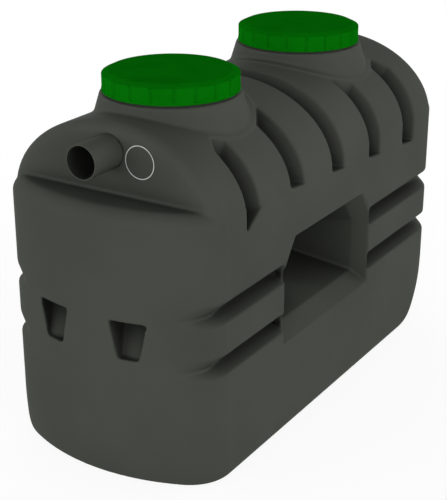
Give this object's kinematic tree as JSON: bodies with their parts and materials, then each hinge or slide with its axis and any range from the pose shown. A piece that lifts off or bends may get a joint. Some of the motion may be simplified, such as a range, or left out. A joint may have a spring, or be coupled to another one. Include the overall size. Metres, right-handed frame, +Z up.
{
  "type": "moulded septic tank",
  "caption": "Moulded septic tank with a ribbed vaulted roof, a window through its belly, pipe stubs at both ends and green screw lids over the manholes.",
  "frame": {"origin": "middle of the tank's footprint, at the level of its flat bottom", "axes": "+Z up, +Y along the tank from the inlet to the outlet, +X to the right when looking from the inlet to the outlet"},
  "size_m": [0.8, 1.85, 1.243],
  "materials": {
    "tank_black": "moulded, matt",
    "lid_green": "moulded, satin",
    "seal_rubber": "matt"
  },
  "bodies": {
    "tank": {"floor_pan": "tank_black", "front_end_wall": "tank_black", "front_left_corner": "tank_black", "front_lid_seal": "seal_rubber", "front_neck": "tank_black", "front_right_corner": "tank_black", "inlet_end_panel": "tank_black", "inlet_stub": "tank_black", "left_front_panel": "tank_black", "left_rear_panel": "tank_black", "left_roof_band_1": "tank_black", "left_roof_band_2": "tank_black", "left_roof_band_3": "tank_black", "left_roof_band_4": "tank_black", "left_roof_band_5": "tank_black", "left_roof_band_6": "tank_black", "left_window_lintel": "tank_black", "left_window_sill": "tank_black", "outlet_end_panel": "tank_black", "outlet_stub": "tank_black", "rear_end_wall": "tank_black", "rear_left_corner": "tank_black", "rear_lid_seal": "seal_rubber", "rear_neck": "tank_black", "rear_right_corner": "tank_black", "right_front_panel": "tank_black", "right_rear_panel": "tank_black", "right_roof_band_1": "tank_black", "right_roof_band_2": "tank_black", "right_roof_band_3": "tank_black", "right_roof_band_4": "tank_black", "right_roof_band_5": "tank_black", "right_roof_band_6": "tank_black", "right_window_lintel": "tank_black", "right_window_sill": "tank_black", "tunnel_floor": "tank_black", "tunnel_front_wall": "tank_black", "tunnel_rear_wall": "tank_black", "tunnel_roof": "tank_black"},
    "front_lid_body": {"front_lid": "lid_green"},
    "rear_lid_body": {"rear_lid": "lid_green"}
  },
  "joints": [
    {"name": "front_lid_lift", "type": "slide", "parent": "tank", "child": "front_lid_body", "axis": [0, 0, 1], "range_m": [0, 0.3]},
    {"name": "rear_lid_lift", "type": "slide", "parent": "tank", "child": "rear_lid_body", "axis": [0, 0, 1], "range_m": [0, 0.3]}
  ]
}
